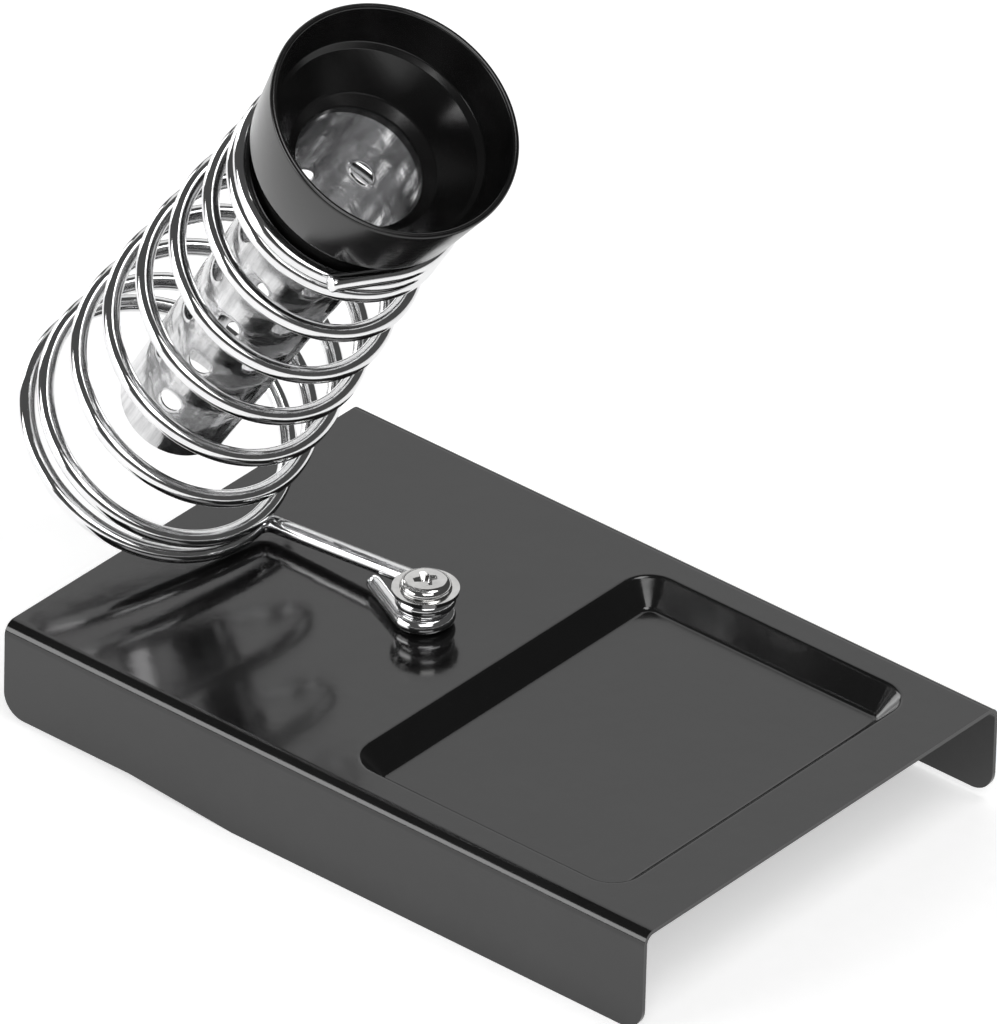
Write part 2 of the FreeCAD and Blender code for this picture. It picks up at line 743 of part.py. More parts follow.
def make_tube():
    """Rolled sheet-metal sleeve with a lap seam and staggered rows of round holes."""
    name = "inner_tube"
    length = "(sizes.tube_end_depth - sizes.tube_seat_depth)"
    sleeve = doc.addObject("Part::Cone", name + "_outside")
    bind(sleeve, Radius1="sizes.tube_end_radius", Radius2="sizes.tube_top_radius",
         Height=length)
    seam = doc.addObject("Part::Cone", name + "_lap")
    neck_length = "(sizes.funnel_height - sizes.tube_seat_depth)"
    seam_top = "sizes.tube_end_radius + (sizes.tube_top_radius - sizes.tube_end_radius)" \
               " * (%s - %s) / %s" % (length, neck_length, length)
    bind(seam, Radius1="sizes.tube_end_radius + sizes.tube_seam_height",
         Radius2="%s + sizes.tube_seam_height" % seam_top,
         Height="%s - %s - 0.5" % (length, neck_length),
         Angle="sizes.tube_seam_width_angle")
    seam.Placement = FreeCAD.Placement(
        Vector(0, 0, 0), FreeCAD.Rotation(Vector(0, 0, 1), sizes.tube_seam_angle))
    rolled = doc.addObject("Part::MultiFuse", name + "_rolled")
    rolled.Shapes = [sleeve, seam]
    inside = doc.addObject("Part::Cone", name + "_inside")
    bind(inside, Radius1="sizes.tube_end_radius - sizes.tube_wall",
         Radius2="sizes.tube_top_radius - sizes.tube_wall", Height=length)
    punches = [inside]
    for column in range(HOLES_AROUND):
        long_column = column % 2 == 0
        rows = LONG_ROWS if long_column else SHORT_ROWS
        first = "sizes.tube_hole_first"
        if not long_column:
            first += " + sizes.tube_hole_stagger"
        bearing = sizes.tube_hole_angle + 360.0 * column / HOLES_AROUND
        for row in range(rows):
            punch = doc.addObject("Part::Cylinder", "punch_%d_%d" % (column, row))
            bind(punch, Radius="sizes.tube_hole_radius", Height="sizes.tube_top_radius * 2")
            outward = Vector(math.cos(math.radians(bearing)), math.sin(math.radians(bearing)), 0)
            punch.Placement = FreeCAD.Placement(
                Vector(0, 0, 0), FreeCAD.Rotation(Vector(0, 0, 1), outward))
            punch.setExpression(
                "Placement.Base.z", "%s + %d * sizes.tube_hole_pitch" % (first, row))
            punches.append(punch)
    cutters = doc.addObject("Part::MultiFuse", name + "_punches")
    cutters.Shapes = punches
    tube = doc.addObject("Part::Cut", name)
    tube.Base = rolled
    tube.Tool = cutters
    tube.Label = name
    tube.Placement = holder_placement(sizes.funnel_rim_height - sizes.tube_end_depth)
    return tube


# ------------------------------------------------------------------ build and write


def check_document():
    """Stops on any object that failed to recompute."""
    for item in doc.Objects:
        if "Invalid" in item.State or "Error" in item.State:
            raise RuntimeError("%s is %s" % (item.Name, item.State))


def write_parts(pieces):
    """Writes each finished piece to its own STEP file."""
    os.makedirs("parts", exist_ok=True)
    for piece in pieces:
        shape = piece.Shape
        if shape.isNull() or not shape.isValid() or not shape.Solids:
            raise RuntimeError("%s has no valid solid" % piece.Label)
        shape.exportStep("parts/%s.step" % piece.Label)
        box = shape.BoundBox
        print("%-14s solids %d  volume %9.1f  x %7.1f %7.1f  y %6.1f %6.1f  z %6.1f %6.1f" % (
            piece.Label, len(shape.Solids), shape.Volume,
            box.XMin, box.XMax, box.YMin, box.YMax, box.ZMin, box.ZMax))


pieces = [
    make_base(),
    make_screw(),
    make_ring("clamp_washer", "sizes.washer_outside", "sizes.washer_inside",
              "sizes.washer_thickness", HEAD_UNDERSIDE),
    make_ring("under_washer", "sizes.under_washer_outside", "sizes.washer_inside",
              "sizes.under_washer_thickness", UNDER_WASHER_TOP),
    make_lock_washer(),
    make_nut(),
]
pieces += make_holder_wire()
pieces.append(make_funnel())
pieces.append(make_tube())
doc.recompute()
check_document()
write_parts(pieces)
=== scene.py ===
"""Looks for the soldering iron stand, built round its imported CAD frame.

Sizes are in millimetres, as in the CAD, and MM turns them into metres.
"""
import math

import bmesh
import bpy
from mathutils import Matrix, Vector
from mathutils.geometry import delaunay_2d_cdt


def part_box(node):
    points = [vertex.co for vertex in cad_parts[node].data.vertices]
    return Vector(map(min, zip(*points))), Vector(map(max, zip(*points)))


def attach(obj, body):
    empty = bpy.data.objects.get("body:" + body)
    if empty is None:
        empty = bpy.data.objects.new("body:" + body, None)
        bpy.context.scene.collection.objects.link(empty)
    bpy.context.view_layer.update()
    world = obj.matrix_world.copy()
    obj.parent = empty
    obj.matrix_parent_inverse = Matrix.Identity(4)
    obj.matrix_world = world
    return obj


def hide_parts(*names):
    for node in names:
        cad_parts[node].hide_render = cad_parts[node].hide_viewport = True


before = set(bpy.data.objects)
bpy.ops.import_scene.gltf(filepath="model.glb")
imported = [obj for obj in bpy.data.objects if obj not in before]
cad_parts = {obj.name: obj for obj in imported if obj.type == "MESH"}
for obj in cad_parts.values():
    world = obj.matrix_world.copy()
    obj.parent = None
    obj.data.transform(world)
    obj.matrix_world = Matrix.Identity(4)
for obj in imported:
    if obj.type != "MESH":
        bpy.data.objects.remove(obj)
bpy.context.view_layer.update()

MM = 0.001

# ------------------------------------------------------------------ sizes, the main ones as in the CAD

PLATE_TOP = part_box("base_plate")[1][2] / MM
WASHER_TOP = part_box("clamp_washer")[1][2] / MM
SCREW_X, SCREW_Y = -5.8, 1.65
WIRE_RADIUS = 1.75
EYE_RADIUS = 4.27
EYE_GAP = 0.06
EYE_TAIL_ANGLE = 244.0
EYE_TAIL_LENGTH = 13.5
EYE_TAIL_OPENING, EYE_TAIL_SPREAD = 0.6, 120.0
EYE_TAIL_LIFT = 0.5
ELBOW_SETBACK = 2.8
COIL_FOOT = Vector((-71.6, -2.3, 39.55))
COIL_ELEVATION = 56.3
COIL_LEAN = -10.4
COIL_START_ANGLE = 17.1
COIL_TURNS = 9.085
COIL_END_LENGTH = 13.5
COIL_FOOT_RADIUS = 27.2
COIL_TAPER = 0.79
COIL_TAPER_TO = 7.0
COIL_FOOT_PITCH, COIL_OPEN_PITCH, COIL_TOP_PITCH = 4.1, 15.6, 3.57
COIL_OPEN_FROM, COIL_OPEN_TO = 1.035, 7.045
PITCH_BLEND = 0.25
STEPS_PER_TURN = 240
STRAIGHT_STEPS = 20
TAIL_STEPS, ARM_STEPS, ELBOW_STEPS = 9, 24, 20
EYE_STEP_DEGREES = 4.0
WIRE_SIDES = 24
WIRE_FIT = 0.998
WIRE_NOSE = [(0.0, 0.72), (0.12, 0.88), (0.35, 0.97)]

RIM_HEIGHT = 127.2
FUNNEL_HEIGHT = 34.0
FUNNEL_SIDES = 160
MOUTH_RADIUS, LIP_WIDTH, LIP_ROUND = 25.4, 1.3, 0.62
COLLAR_HEIGHT, COLLAR_FOOT_RADIUS = 17.5, 22.9
NECK_RADIUS = 19.8
LEDGE_RADIUS, LEDGE_WIDTH = 21.6, 1.2
LEDGE_DEPTH, LEDGE_DROP = 8.5, 1.0
BOWL_FLOOR_RADIUS, BOWL_FLOOR_DEPTH = 15.1, 17.0
THROAT_RADIUS, THROAT_DEPTH = 12.9, 18.8
SEAT_RADIUS = 13.45

TUBE_END_DEPTH = 115.6
TUBE_SEAT_DEPTH = 21.0
TUBE_TOP_RADIUS, TUBE_END_RADIUS = 13.4, 11.4
TUBE_WALL = 0.5
TUBE_HOLE_RADIUS = 2.6
TUBE_HOLE_FIRST, TUBE_HOLE_PITCH, TUBE_HOLE_STAGGER = 15.5, 15.8, 7.0
TUBE_HOLE_ANGLE = -71.0
TUBE_SEAM_ANGLE = 6.0
TUBE_LAP_DEGREES, TUBE_LAP_LIFT = 9.0, 0.55
HOLES_AROUND, LONG_ROWS, SHORT_ROWS = 8, 5, 4
HOLE_RINGS = (0.0, 0.22, 0.6, 1.1)
HOLE_RING_SIDES = 36
HOLE_MARGIN = 1.4
HOLE_DISH, HOLE_DISH_REACH = 0.16, 0.35
SHEET_COLUMNS, SHEET_ROWS = 124, 66

HEAD_RADIUS, HEAD_HEIGHT = 5.15, 1.9
HEAD_FLAT_RADIUS = 3.4
HEAD_BEVEL, HEAD_BAND = 0.1, 0.28
HEAD_SIDES, HEAD_STEPS = 96, 14
SHANK_RADIUS = 2.45
THREAD_PITCH, THREAD_ROOT = 0.8, 2.05
THREAD_START, THREAD_FULL = 6.0, 7.0
THREAD_SIDES, THREAD_STEPS_PER_PITCH = 48, 8
TIP_LENGTH, TIP_TAPER = 0.6, 0.45
CROSS_TURN = 55.0
SCREW_LENGTH = 16.0


def smooth_step(value, start, end):
    """0 before start, 1 after end and an even S between them."""
    share = min(max((value - start) / (end - start), 0.0), 1.0)
    return share * share * (3.0 - 2.0 * share)


def holder_frame(height):
    """Places the coil's axis: Z along it, X towards its low side."""
    tilt = Matrix.Rotation(math.radians(90.0 - COIL_ELEVATION), 4, "Y")
    lean = Matrix.Rotation(math.radians(COIL_LEAN), 4, "Z")
    turn = lean @ tilt
    place = COIL_FOOT + turn.to_3x3() @ Vector((0.0, 0.0, height))
    return Matrix.Translation(place) @ turn


# ------------------------------------------------------------------ mesh helpers


def new_piece(name, verts, faces, body, material, matrix=None, uvs=None,
              smooth_angle=35.0):
    """Makes a mesh object from millimetre points and ties it to its CAD body."""
    mesh = bpy.data.meshes.new(name)
    place = matrix or Matrix.Identity(4)
    mesh.from_pydata([(place @ Vector(v)) * MM for v in verts], [], faces)
    mesh.validate()
    if uvs:
        layer = mesh.uv_layers.new(name="surface")
        for loop in mesh.loops:
            layer.data[loop.index].uv = uvs[loop.vertex_index]
    shade(mesh, smooth_angle)
    obj = bpy.data.objects.new(name, mesh)
    bpy.context.scene.collection.objects.link(obj)
    mesh.materials.append(material)
    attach(obj, body)
    return obj


def shade(mesh, smooth_angle):
    """Smooth shading, with every edge sharper than the angle left hard."""
    tidy = bmesh.new()
    tidy.from_mesh(mesh)
    bmesh.ops.recalc_face_normals(tidy, faces=tidy.faces)
    limit = math.radians(smooth_angle)
    for face in tidy.faces:
        face.smooth = True
    for edge in tidy.edges:
        if len(edge.link_faces) == 2:
            edge.smooth = edge.calc_face_angle(0.0) < limit
    tidy.to_mesh(mesh)
    tidy.free()


def rounded_profile(corners, arc_steps=6):
    """Rounds each corner (radius, height, round) of a closed outline by its own radius."""
    points = []
    count = len(corners)
    for index in range(count):
        here = Vector(corners[index][:2])
        size = corners[index][2]
        if size <= 0.0:
            points.append(here)
            continue
        before = (Vector(corners[index - 1][:2]) - here).normalized()
        after = (Vector(corners[(index + 1) % count][:2]) - here).normalized()
        half = before.angle(after) / 2.0
        reach = size / math.tan(half)
        start, end = here + before * reach, here + after * reach
        centre = here + (before + after).normalized() * (size / math.sin(half))
        first, last = start - centre, end - centre
        sweep = first.angle_signed(last)
        for step in range(arc_steps + 1):
            turn = Matrix.Rotation(-sweep * step / arc_steps, 2)
            points.append(centre + turn @ first)
    return points


def lathe(profile, segments, closed=True):
    """Turns a list of (radius, height) points round Z."""
    verts, faces, uvs = [], [], []
    count = len(profile)
    travel = 0.0
    for index, (radius, height) in enumerate(profile):
        if index:
            travel += (Vector(profile[index]) - Vector(profile[index - 1])).length
        for step in range(segments):
            angle = 2.0 * math.pi * step / segments
            verts.append((radius * math.cos(angle), radius * math.sin(angle), height))
            uvs.append((step / segments, travel * MM))
    rows = count if closed else count - 1
    for index in range(rows):
        low = index * segments
        high = ((index + 1) % count) * segments
        for step in range(segments):
            after = (step + 1) % segments
            faces.append((low + step, low + after, high + after, high + step))
    return verts, faces, uvs


# ------------------------------------------------------------------ materials


class Nodes:
    """Short way to write a node material."""

    def __init__(self, name):
        self.material = bpy.data.materials.new(name)
        self.material.use_nodes = True
        self.tree = self.material.node_tree
        self.shader = self.tree.nodes["Principled BSDF"]

    def add(self, kind, inputs=None, **settings):
        node = self.tree.nodes.new(kind)
        for key, value in settings.items():
            setattr(node, key, value)
        for key, value in (inputs or {}).items():
            self.join(value, node.inputs[key])
        return node

    def join(self, value, socket):
        if isinstance(value, bpy.types.NodeSocket):
            self.tree.links.new(value, socket)
        else:
            socket.default_value = value

    def set(self, **inputs):
        names = {"color": "Base Color", "rough": "Roughness", "metal": "Metallic",
                 "normal": "Normal", "coat": "Coat Weight", "coat_rough": "Coat Roughness",
                 "ior": "IOR"}
        for key, value in inputs.items():
            self.join(value, self.shader.inputs[names[key]])

    def coords(self, kind="Object", scale=(1.0, 1.0, 1.0)):
        source = self.add("ShaderNodeTexCoord")
        mapping = self.add("ShaderNodeMapping", {"Vector": source.outputs[kind], "Scale": scale})
        return mapping.outputs[0]

    def noise(self, vector, scale, detail=4.0, rough=0.5, distortion=0.0):
        node = self.add("ShaderNodeTexNoise", {
            "Vector": vector, "Scale": scale, "Detail": detail, "Roughness": rough,
            "Distortion": distortion})
        return node.outputs["Fac"]

    def ramp(self, value, stops):
        """Maps 0..1 to the stops, each (place, grey or colour)."""
        node = self.add("ShaderNodeValToRGB", {"Fac": value})
        elements = node.color_ramp.elements
        while len(elements) < len(stops):
            elements.new(0.5)
        for element, (place, tone) in zip(elements, stops):
            element.position = place
            element.color = tone if isinstance(tone, tuple) else (tone, tone, tone, 1.0)
        return node.outputs["Color"]

    def math(self, operation, first, second):
        node = self.add("ShaderNodeMath", operation=operation)
        self.join(first, node.inputs[0])
        self.join(second, node.inputs[1])
        return node.outputs[0]

    def bump(self, height, strength, distance, normal=None):
        inputs = {"Height": height, "Strength": strength, "Distance": distance}
        if normal:
            inputs["Normal"] = normal
        return self.add("ShaderNodeBump", inputs).outputs[0]


def make_enamel():
    """Glossy black stove enamel: faint orange peel, dust specks and soft rub marks."""
    n = Nodes("black_enamel")
    place = n.coords()
    peel = n.noise(place, 420.0, 2.0, 0.4)
    flow = n.noise(place, 60.0, 3.0, 0.5)
    smear = n.noise(place, 22.0, 5.0, 0.6, 0.8)
    specks = n.noise(place, 1500.0, 2.0, 0.5)
    tone = n.ramp(smear, [(0.3, 0.004), (0.7, 0.008)])
    dust = n.ramp(specks, [(0.72, 0.0), (0.8, 0.02)])
    color = n.add("ShaderNodeMixRGB", {"Fac": 1.0, "Color1": tone, "Color2": dust},
                  blend_type="ADD")
    n.set(color=color.outputs[0], ior=1.54)
    n.set(rough=n.ramp(smear, [(0.3, 0.1), (0.75, 0.17)]))
    fine = n.bump(peel, 0.1, 0.0002)
    n.set(normal=n.bump(flow, 0.22, 0.0004, fine))
    n.set(coat=0.15, coat_rough=0.06)
    return n.material


def make_chrome():
    """Bright plated wire: faint drawing lines along it and a little haze."""
    n = Nodes("chrome_wire")
    along = n.coords("UV", (60.0, 30.0, 1.0))
    lines = n.noise(along, 3.0, 3.0, 0.6)
    place = n.coords()
    haze = n.noise(place, 90.0, 4.0, 0.6)
    pits = n.noise(place, 900.0, 2.0, 0.5)
    dull, bright = (0.72, 0.722, 0.728, 1.0), (0.84, 0.84, 0.842, 1.0)
    n.set(color=n.ramp(haze, [(0.3, dull), (0.7, bright)]), metal=1.0)
    n.set(rough=n.ramp(haze, [(0.3, 0.04), (0.75, 0.1)]))
    fine = n.bump(lines, 0.06, 0.0001)
    n.set(normal=n.bump(pits, 0.04, 0.00005, fine))
    return n.material


def make_phenolic():
    """Black moulded phenolic: polished skin with faint flow marks."""
    n = Nodes("black_phenolic")
    place = n.coords()
    flow = n.noise(place, 45.0, 5.0, 0.6, 1.2)
    deep, pale = (0.004, 0.004, 0.0042, 1.0), (0.009, 0.0088, 0.0086, 1.0)
    n.set(color=n.ramp(flow, [(0.3, deep), (0.75, pale)]), ior=1.5)
    n.set(rough=n.ramp(flow, [(0.3, 0.17), (0.75, 0.28)]))
    n.set(normal=n.bump(flow, 0.08, 0.0004))
    n.set(coat=0.08, coat_rough=0.08)
    return n.material


def make_tinplate():
    """Rolled tinplate: bright, with streaks along the tube and dull blotches."""
    n = Nodes("tinplate")
    around = n.coords("UV", (26.0, 22.0, 1.0))
    streaks = n.noise(around, 1.6, 5.0, 0.65)
    place = n.coords()
    blotch = n.noise(place, 70.0, 5.0, 0.6, 0.6)
    dents = n.noise(place, 140.0, 2.0, 0.4, 0.5)
    grain = n.noise(place, 1200.0, 2.0, 0.5)
    mixed = n.math("ADD", n.math("MULTIPLY", streaks, 0.6), n.math("MULTIPLY", blotch, 0.4))
    dull, bright = (0.4, 0.4, 0.405, 1.0), (0.76, 0.76, 0.765, 1.0)
    n.set(color=n.ramp(mixed, [(0.35, dull), (0.62, bright)]), metal=1.0)
    n.set(rough=n.ramp(mixed, [(0.35, 0.2), (0.7, 0.07)]))
    waves = n.bump(dents, 0.5, 0.0006)
    n.set(normal=n.bump(grain, 0.06, 0.00003, n.bump(streaks, 0.25, 0.0002, waves)))
    return n.material


def make_plated(name, tone, rough_low, rough_high):
    """Plated fastener: fine grain and an uneven shine."""
    n = Nodes(name)
    place = n.coords()
    cloud = n.noise(place, 260.0, 4.0, 0.6)
    grain = n.noise(place, 2600.0, 3.0, 0.6)
    dark = tuple(part * 0.78 for part in tone) + (1.0,)
    n.set(color=n.ramp(cloud, [(0.3, dark), (0.7, tone + (1.0,))]), metal=1.0,
          rough=n.ramp(cloud, [(0.3, rough_low), (0.75, rough_high)]))
    n.set(normal=n.bump(grain, 0.12, 0.00004))
    return n.material


def make_floor_material():
    """Pale matt paper that glows a little, so that it stays near white."""
    n = Nodes("studio_paper")
    place = n.coords()
    fibre = n.noise(place, 300.0, 4.0, 0.6)
    n.set(color=n.ramp(fibre, [(0.3, 0.86), (0.7, 0.9)]), rough=0.85)
    n.set(normal=n.bump(fibre, 0.05, 0.0002))
    n.shader.inputs["Emission Color"].default_value = (1.0, 1.0, 1.0, 1.0)
    n.shader.inputs["Emission Strength"].default_value = TABLE_GLOW
    return n.material


ENAMEL = make_enamel()
CHROME = make_chrome()
PHENOLIC = make_phenolic()
TINPLATE = make_tinplate()
NICKEL = make_plated("nickel_plate", (0.7, 0.695, 0.685), 0.06, 0.16)
ZINC = make_plated("zinc_plate", (0.62, 0.63, 0.645), 0.28, 0.46)


# ------------------------------------------------------------------ holder wire


def coil_pitch(turn):
    """Rise per turn: nearly closed at the foot, open in the middle, closed at the top."""
    opened = smooth_step(turn, COIL_OPEN_FROM - PITCH_BLEND, COIL_OPEN_FROM + PITCH_BLEND)
    closed = smooth_step(turn, COIL_OPEN_TO - PITCH_BLEND, COIL_OPEN_TO + PITCH_BLEND)
    return (COIL_FOOT_PITCH + (COIL_OPEN_PITCH - COIL_FOOT_PITCH) * opened
            + (COIL_TOP_PITCH - COIL_OPEN_PITCH) * closed)


def coil_line():
    """Centre line of the coil, from the elbow up, with the straight end of its top turn."""
    place = holder_frame(0.0)
    points = []
    height = 0.0
    for step in range(int(round(COIL_TURNS * STEPS_PER_TURN)) + 1):
        turn = step / STEPS_PER_TURN
        angle = math.radians(COIL_START_ANGLE) - 2.0 * math.pi * turn
        radius = COIL_FOOT_RADIUS - COIL_TAPER * min(turn, COIL_TAPER_TO)
        around = Vector((radius * math.cos(angle), radius * math.sin(angle), height))
        points.append(place @ around)
        height += coil_pitch(turn) / STEPS_PER_TURN
    onward = (points[-1] - points[-2]).normalized()
    top = points[-1]
    for step in range(1, STRAIGHT_STEPS + 1):
        points.append(top + onward * (COIL_END_LENGTH * step / STRAIGHT_STEPS))
    return points


def arm_line(coil_start, leave):
    """Centre line of the tail, the double eye, the arm and the elbow."""
    corner = coil_start - leave * ELBOW_SETBACK
    low = PLATE_TOP + EYE_GAP + WIRE_RADIUS
    rise = 2.0 * WIRE_RADIUS + EYE_GAP
    screw = Vector((SCREW_X, SCREW_Y, 0.0))
    flat = Vector((corner.x, corner.y, 0.0)) - screw
    bearing = math.degrees(math.atan2(flat.y, flat.x))
    last = bearing - math.degrees(math.acos(EYE_RADIUS / flat.length))
    while last < EYE_TAIL_ANGLE + 360.0:
        last += 360.0
    first = EYE_TAIL_ANGLE

    def on_eye(angle, height):
        turn = math.radians(angle)
        opened = 1.0 - smooth_step(angle, first, first + EYE_TAIL_SPREAD)
        radius = EYE_RADIUS + EYE_TAIL_OPENING * opened
        return screw + Vector((math.cos(turn) * radius, math.sin(turn) * radius, height))

    points = []
    heading = math.radians(first + 90.0)
    back = Vector((math.cos(heading), math.sin(heading), 0.0)) * -EYE_TAIL_LENGTH
    for step in range(TAIL_STEPS):
        share = 1.0 - step / TAIL_STEPS
        points.append(on_eye(first, low + EYE_TAIL_LIFT * share * share) + back * share)
    rounds = int(round((last - first) / EYE_STEP_DEGREES))
    for step in range(rounds + 1):
        angle = first + (last - first) * step / rounds
        lift = rise * smooth_step(angle, last - 360.0, first + 360.0)
        points.append(on_eye(angle, low + lift))
    off = points[-1]
    arrive = (corner - off).normalized()
    turn = arrive.angle(leave)
    bend_radius = ELBOW_SETBACK / math.tan(turn / 2.0)
    bend_start = corner - arrive * ELBOW_SETBACK
    for step in range(1, ARM_STEPS):
        points.append(off.lerp(bend_start, step / ARM_STEPS))
    inward = (leave - arrive * leave.dot(arrive)).normalized()
    for step in range(ELBOW_STEPS + 1):
        bent = turn * step / ELBOW_STEPS
        points.append(bend_start + arrive * (bend_radius * math.sin(bent))
                      + inward * (bend_radius * (1.0 - math.cos(bent))))
    return points


def sweep_wire(line, radius, sides):
    """Tube along a line, its section carried along without twist and its ends nosed."""
    verts, faces, uvs = [], [], []
    count = len(line)
    tangents = []
    for index in range(count):
        before, after = line[max(index - 1, 0)], line[min(index + 1, count - 1)]
        tangents.append((after - before).normalized())
    across = tangents[0].orthogonal().normalized()
    rings = []
    travel = 0.0
    for index in range(count):
        if index:
            travel += (line[index] - line[index - 1]).length
        tangent = tangents[index]
        across = (across - tangent * across.dot(tangent)).normalized()
        rings.append((line[index], tangent, across, radius, travel))
    start, end = rings[0], rings[-1]
    first = [(start[0] + start[1] * gap, start[1], start[2], radius * share, gap)
             for gap, share in WIRE_NOSE]
    last = [(end[0] - end[1] * gap, end[1], end[2], radius * share, end[4] - gap)
            for gap, share in reversed(WIRE_NOSE)]
    rings = first + rings[1:-1] + last
    for centre, tangent, side, size, length in rings:
        up = tangent.cross(side)
        for step in range(sides):
            angle = 2.0 * math.pi * step / sides
            verts.append(centre + (side * math.cos(angle) + up * math.sin(angle)) * size)
            uvs.append((step / sides, length * MM))
    for ring in range(len(rings) - 1):
        for step in range(sides):
            after = (step + 1) % sides
            low, high = ring * sides, (ring + 1) * sides
            faces.append((low + step, low + after, high + after, high + step))
    faces.append(tuple(range(sides - 1, -1, -1)))
    faces.append(tuple((len(rings) - 1) * sides + step for step in range(sides)))
    return verts, faces, uvs


def make_holder_wire():
    """The whole wire in one piece, thinner than the CAD's by a hair to stay in its box."""
    coil = coil_line()
    leave = (coil[1] - coil[0]).normalized()
    line = arm_line(coil[0], leave) + coil[2::2]
    verts, faces, uvs = sweep_wire(line, WIRE_RADIUS * WIRE_FIT, WIRE_SIDES)
    wire = new_piece("holder_wire", verts, faces, "holder", CHROME,
                     uvs=uvs)
    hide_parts("wire_arm", "wire_coil")


# ------------------------------------------------------------------ funnel


def make_funnel():
    """Turns the funnel's outline, whose corners are (radius, height, rounding)."""
    top = FUNNEL_HEIGHT
    corners = [
        (SEAT_RADIUS, 0.0, 0.3),
        (NECK_RADIUS, 0.0, 0.8),
        (NECK_RADIUS, top - COLLAR_HEIGHT, 0.5),
        (COLLAR_FOOT_RADIUS, top - COLLAR_HEIGHT, 1.0),
        (MOUTH_RADIUS, top, LIP_ROUND),
        (MOUTH_RADIUS - LIP_WIDTH, top, LIP_ROUND),
        (LEDGE_RADIUS, top - LEDGE_DEPTH, 1.0),
        (LEDGE_RADIUS - LEDGE_WIDTH, top - LEDGE_DEPTH - LEDGE_DROP, 0.8),
        (BOWL_FLOOR_RADIUS, top - BOWL_FLOOR_DEPTH, 2.4),
        (THROAT_RADIUS, top - THROAT_DEPTH, 0.7),
        (THROAT_RADIUS, top - TUBE_SEAT_DEPTH, 0.0),
        (SEAT_RADIUS, top - TUBE_SEAT_DEPTH, 0.0),
    ]
    profile = [tuple(point) for point in rounded_profile(corners)]
    verts, faces, uvs = lathe(profile, FUNNEL_SIDES)
    place = holder_frame(RIM_HEIGHT - FUNNEL_HEIGHT)
    funnel = new_piece("moulded_funnel", verts, faces, "holder",
                       PHENOLIC, place, uvs, smooth_angle=50.0)
    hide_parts("funnel")


# ------------------------------------------------------------------ inner tube


def hole_places():
    """Bearing from the seam and height of every punched hole."""
    places = []
    for column in range(HOLES_AROUND):
        long_column = column % 2 == 0
        first = TUBE_HOLE_FIRST + (0.0 if long_column else TUBE_HOLE_STAGGER)
        around = 360.0 * column / HOLES_AROUND
        for row in range(LONG_ROWS if long_column else SHORT_ROWS):
            bearing = (TUBE_HOLE_ANGLE + around - TUBE_SEAM_ANGLE) % 360.0
            places.append((bearing, first + row * TUBE_HOLE_PITCH))
    return places


def sheet_outline(width, length):
    """Evenly spaced points round a flat sheet."""
    outline = []
    for step in range(SHEET_COLUMNS + 1):
        outline.append((width * step / SHEET_COLUMNS, 0.0))
    for step in range(1, SHEET_ROWS + 1):
        outline.append((width, length * step / SHEET_ROWS))
    for step in range(SHEET_COLUMNS - 1, -1, -1):
        outline.append((width * step / SHEET_COLUMNS, length))
    for step in range(SHEET_ROWS - 1, 0, -1):
        outline.append((0.0, length * step / SHEET_ROWS))
    return outline


def punched_sheet(width, length, holes):
    """Flat points and triangles of the sheet, fine round its holes and open in them."""
    def clear_of_holes(x, z, margin):
        return all((x - hx) ** 2 + (z - hz) ** 2 > margin ** 2 for hx, hz in holes)

    points = sheet_outline(width, length)
    count = len(points)
    edges = [(index, (index + 1) % count) for index in range(count)]
    for hx, hz in holes:
        base = len(points)
        for ring, offset in enumerate(HOLE_RINGS):
            size = TUBE_HOLE_RADIUS + offset
            for step in range(HOLE_RING_SIDES):
                angle = 2.0 * math.pi * (step + 0.5 * (ring % 2)) / HOLE_RING_SIDES
                points.append((hx + size * math.cos(angle), hz + size * math.sin(angle)))
        for step in range(HOLE_RING_SIDES):
            edges.append((base + step, base + (step + 1) % HOLE_RING_SIDES))
    for column in range(1, SHEET_COLUMNS):
        for row in range(1, SHEET_ROWS):
            x, z = width * column / SHEET_COLUMNS, length * row / SHEET_ROWS
            if clear_of_holes(x, z, TUBE_HOLE_RADIUS + HOLE_MARGIN):
                points.append((x, z))
    flat, _, triangles, _, _, _ = delaunay_2d_cdt(
        [Vector(point) for point in points], edges, [], 0, 1e-5)
    kept = []
    for triangle in triangles:
        x = sum(flat[corner][0] for corner in triangle) / 3.0
        z = sum(flat[corner][1] for corner in triangle) / 3.0
        if clear_of_holes(x, z, TUBE_HOLE_RADIUS * 0.995):
            kept.append(tuple(triangle))
    return flat, kept


